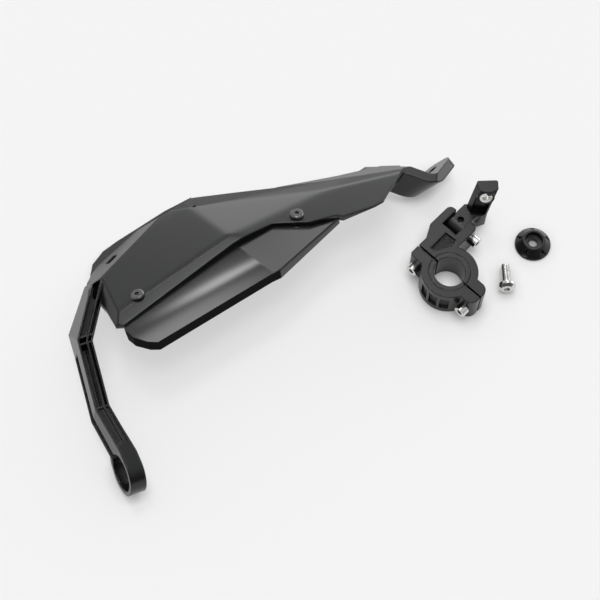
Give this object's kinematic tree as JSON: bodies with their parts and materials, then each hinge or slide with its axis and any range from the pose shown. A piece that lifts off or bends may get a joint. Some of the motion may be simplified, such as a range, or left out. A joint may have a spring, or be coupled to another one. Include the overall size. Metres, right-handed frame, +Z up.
{
  "type": "motorcycle hand guard",
  "caption": "Hand guard for a motorcycle handlebar: a creased shield with a spoiler, a bent arm with a bar-end ring, and its bar clamp with a pivoting link.",
  "frame": {"origin": "on the axis of the handlebar clamp's bore, at the floor under the clamp", "axes": "+Z up along the clamp's bore; +X to the right and +Y to the back as the set lies in the picture"},
  "size_m": [0.3362, 0.2516, 0.0554],
  "materials": {
    "guard_plastic": "black moulded plastic with a fine satin grain",
    "spoiler_plastic": "black moulded plastic, smoother than the shield",
    "clamp_plastic": "black glass-filled nylon, satin",
    "sleeve_plastic": "black moulded sleeve, dull",
    "zinc_steel": "bright zinc-plated steel",
    "black_steel": "black-coated steel, satin"
  },
  "bodies": {
    "guard_set": {"guard": "guard_plastic", "spoiler": "spoiler_plastic", "shield_screw_outer": "black_steel", "shield_screw_inner": "black_steel", "shield_nut_outer": "zinc_steel", "shield_nut_inner": "zinc_steel", "clamp_upper": "clamp_plastic", "clamp_lower": "clamp_plastic", "sleeve_upper": "sleeve_plastic", "sleeve_lower": "sleeve_plastic", "clamp_bolt_left": "zinc_steel", "clamp_bolt_right": "zinc_steel", "clamp_insert_left": "zinc_steel", "clamp_insert_right": "zinc_steel", "pivot_bolt": "zinc_steel", "pivot_insert": "zinc_steel", "bar_end_cone": "clamp_plastic", "mounting_screw": "zinc_steel"},
    "link_set": {"link": "clamp_plastic", "link_bush": "zinc_steel"}
  },
  "joints": [
    {"name": "link_pivot", "type": "hinge", "parent": "guard_set", "child": "link_set", "pos_m": [0.00814, 0.0401, 0.012], "axis": [0.7193, -0.6947, 0], "range_deg": [-7, 30]}
  ]
}
